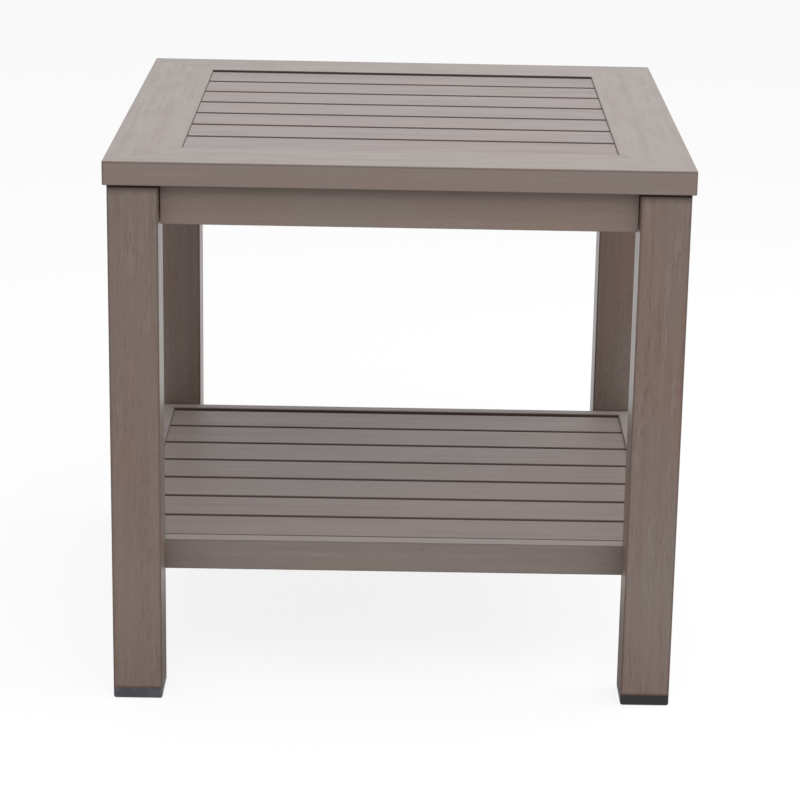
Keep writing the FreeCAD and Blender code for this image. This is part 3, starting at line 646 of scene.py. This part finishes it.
# Stitches between each apron and the rail above it, on the inside
stitch = {"length": 0.026, "reach": 0.105}
apronInner = -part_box("apron_front")[1].y
stitchBeads = []
for sign in (-1, 1):
    wall = sign * apronInner
    for middle in (-stitch["reach"], 0.0, stitch["reach"]):
        low, high = span(middle, stitch["length"])
        stitchBeads.append(((low, wall, topUnder), (high, wall, topUnder), (0, -sign, -1)))
        stitchBeads.append(((wall, low, topUnder), (wall, high, topUnder), (-sign, 0, -1)))
weldPiece("apron_stitch_welds", stitchBeads, weldCoat)

# Under the mitres of the shelf's frame
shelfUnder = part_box("shelf_rail_front")[0].z
shelfInnerX = -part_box("shelf_rail_left")[1].x
shelfInnerY = -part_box("shelf_rail_front")[1].y
shelfOuterX = -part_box("shelf_rail_left")[0].x
beadReach = shelfOuterX - shelfInnerX - weldLook["outerInset"]
innerCorner = (shelfInnerX + inset, shelfInnerY + inset)
outerCorner = (shelfInnerX + beadReach, shelfInnerY + beadReach)
weldPiece("shelf_mitre_welds", cornerBeads(innerCorner, outerCorner, shelfUnder), weldCoat)

# Tacks along the ledges of the shelf, and at the ends of both middle bars
tack = {"length": 0.012, "spots": (-0.16, -0.05, 0.05, 0.16)}
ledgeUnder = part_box("shelf_slat_ledge_left")[0].z
tackBeads = []
for sign in (-1, 1):
    wall = sign * shelfInnerX
    for spot in tack["spots"]:
        low, high = span(spot, tack["length"])
        tackBeads.append(((wall, low, ledgeUnder), (wall, high, ledgeUnder), (-sign, 0, -1)))
    for bar in ("top_slat_bar", "shelf_slat_bar"):
        low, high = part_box(bar)
        barEnd = sign * high.y
        start = (low.x + inset, barEnd, low.z)
        end = (high.x - inset, barEnd, low.z)
        tackBeads.append((start, end, (0, -sign, -1)))
weldPiece("slat_carrier_tacks", tackBeads, weldCoat)

# Studio: pale floor, white surround, soft boxes
studioLook = {
    "floorSize": 40.0,
    "floorColor": (0.92, 0.92, 0.92, 1),
    "floorGlow": 0.85,  # share of plain white that the camera sees on the floor
    "white": (1, 1, 1, 1),
    "fill": 0.62,  # what the surround sheds on the object
}
softBoxes = {
    "overheadBox": {"place": (0.0, -0.4, 2.6), "aim": (0, 0, 0.4), "size": 2.4, "power": 25.8},
    "frontBox": {"place": (0.2, -2.4, 2.8), "aim": (0, 0, 0.3), "size": 1.8, "power": 35.5},
    "rightBox": {"place": (1.5, 0.3, 0.8), "aim": (0, 0.05, 0.15), "size": 0.9, "power": 11.5},
    "upperRightBox": {"place": (2.0, -0.5, 2.1), "aim": (0, 0, 0.2), "size": 1.0, "power": 10.0},
}


def seenShare(tree, row):  # 1 for rays that show the background: camera, glossy, transmission
    path = addNode(tree, "ShaderNodeLightPath", (-900, row)).outputs
    share = calc(tree, (-700, row), "MAXIMUM", path["Is Camera Ray"], path["Is Glossy Ray"])
    return calc(tree, (-500, row), "MAXIMUM", share, path["Is Transmission Ray"])


def makeFloor(look):
    bm = bmesh.new()
    bmesh.ops.create_grid(bm, x_segments=1, y_segments=1, size=look["floorSize"] / 2)
    mesh = bpy.data.meshes.new("studioFloor")
    bm.to_mesh(mesh)
    bm.free()
    material, tree = newMaterial("palePaper")
    mesh.materials.append(material)
    plain = addNode(tree, "ShaderNodeBsdfDiffuse", (-200, 100), {"Color": look["floorColor"]})
    white = addNode(tree, "ShaderNodeEmission", (-200, -100), {"Color": look["white"], "Strength": 1.0})
    share = calc(tree, (-200, 300), "MULTIPLY", seenShare(tree, 300), look["floorGlow"])
    mixed = addNode(tree, "ShaderNodeMixShader", (50, 0), {
        0: share, 1: plain.outputs[0], 2: white.outputs[0]})
    addNode(tree, "ShaderNodeOutputMaterial", (250, 0), {"Surface": mixed.outputs[0]})
    floor = bpy.data.objects.new("studioFloor", mesh)
    scene.collection.objects.link(floor)


def makeSurround(look):
    world = bpy.data.worlds.new("studioSurround")
    world.use_nodes = True
    scene.world = world
    tree = world.node_tree
    tree.nodes.clear()
    strength = ease(tree, (-200, 0), seenShare(tree, 0), 0.0, 1.0, look["fill"], 1.0)
    surround = addNode(tree, "ShaderNodeBackground", (50, 0), {"Color": look["white"], "Strength": strength})
    addNode(tree, "ShaderNodeOutputWorld", (250, 0), {"Surface": surround.outputs[0]})


def makeSoftBox(name, look):
    lamp = bpy.data.lights.new(name, "AREA")
    lamp.shape = "SQUARE"
    lamp.size = look["size"]
    lamp.energy = look["power"]
    box = bpy.data.objects.new(name, lamp)
    box.location = look["place"]
    heading = Vector(look["aim"]) - Vector(look["place"])
    box.rotation_euler = heading.to_track_quat("-Z", "Y").to_euler()
    box.visible_camera = False
    scene.collection.objects.link(box)


makeFloor(studioLook)
makeSurround(studioLook)
for boxName, boxLook in softBoxes.items():
    makeSoftBox(boxName, boxLook)
print("studio:", len(softBoxes), "soft boxes")

# Camera at the photograph's angle, fitted to the table's straight edges
cameraLook = {
    "place": (0.0031, -2.8248, 1.1117),
    "yaw": 0.89,  # degrees
    "pitch": 16.31,
    "roll": 1.22,
    "sensor": 36.0,  # millimetres
    "lens": 119.87,
    "shift": (-0.05, -0.05),
}


def makeCamera(look):
    lens = bpy.data.cameras.new("photoCamera")
    lens.sensor_width = look["sensor"]
    lens.lens = look["lens"]
    lens.shift_x, lens.shift_y = look["shift"]
    camera = bpy.data.objects.new("photoCamera", lens)
    scene.collection.objects.link(camera)
    heading = Matrix.Rotation(math.radians(-look["yaw"]), 4, "Z")
    tilt = Matrix.Rotation(math.radians(90 - look["pitch"]), 4, "X")
    roll = Matrix.Rotation(math.radians(look["roll"]), 4, "Z")
    camera.matrix_world = Matrix.Translation(look["place"]) @ heading @ tilt @ roll
    scene.camera = camera


makeCamera(cameraLook)
print("camera set")
